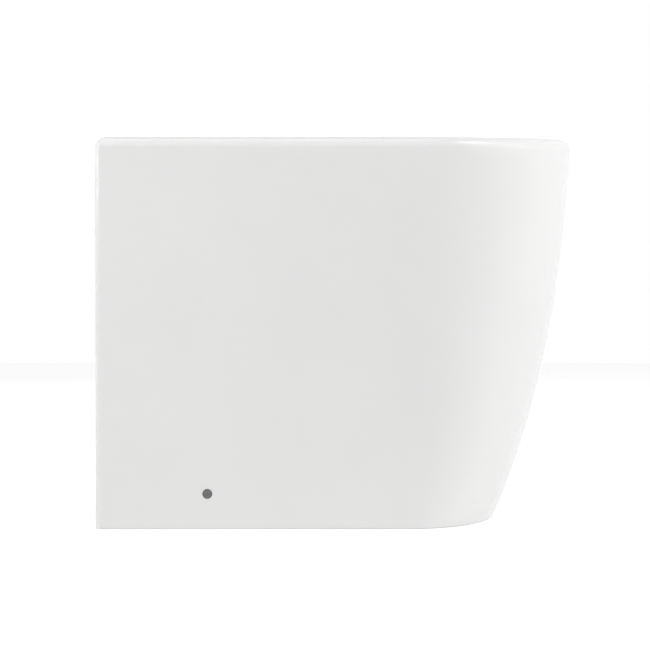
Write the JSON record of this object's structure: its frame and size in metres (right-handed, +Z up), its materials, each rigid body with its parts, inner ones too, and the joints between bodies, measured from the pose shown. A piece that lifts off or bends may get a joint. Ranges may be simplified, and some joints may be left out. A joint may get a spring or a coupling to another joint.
{
  "type": "back to wall toilet",
  "caption": "Back-to-wall toilet pan with fully shrouded sides, D-shaped rimless bowl, trapway with waste spigot, hidden floor brackets and capped side fixings.",
  "frame": {"origin": "centre of the footprint, on the floor", "axes": "+X from the wall towards the front of the pan, +Y towards the pan's left side, +Z up"},
  "size_m": [0.495, 0.36, 0.4],
  "materials": {
    "glazed_ceramic": "gloss",
    "white_nylon": "satin",
    "zinc_plated_steel": "satin",
    "grey_plastic": "satin",
    "black_rubber": "matte"
  },
  "bodies": {
    "pan_body": {"pan": "glazed_ceramic", "inlet_seal": "black_rubber", "floor_bracket_left": "white_nylon", "floor_bracket_right": "white_nylon", "bracket_nut_left": "zinc_plated_steel", "bracket_nut_right": "zinc_plated_steel", "side_bush_left": "white_nylon", "side_bush_right": "white_nylon", "side_screw_left": "zinc_plated_steel", "side_screw_right": "zinc_plated_steel"},
    "cap_left": {"cover_cap_left": "grey_plastic"},
    "cap_right": {"cover_cap_right": "grey_plastic"}
  },
  "joints": [
    {"name": "cap_left_pull", "type": "slide", "parent": "pan_body", "child": "cap_left", "axis": [0, 1, 0], "range_m": [0, 0.012]},
    {"name": "cap_right_pull", "type": "slide", "parent": "pan_body", "child": "cap_right", "axis": [0, -1, 0], "range_m": [0, 0.012]}
  ]
}
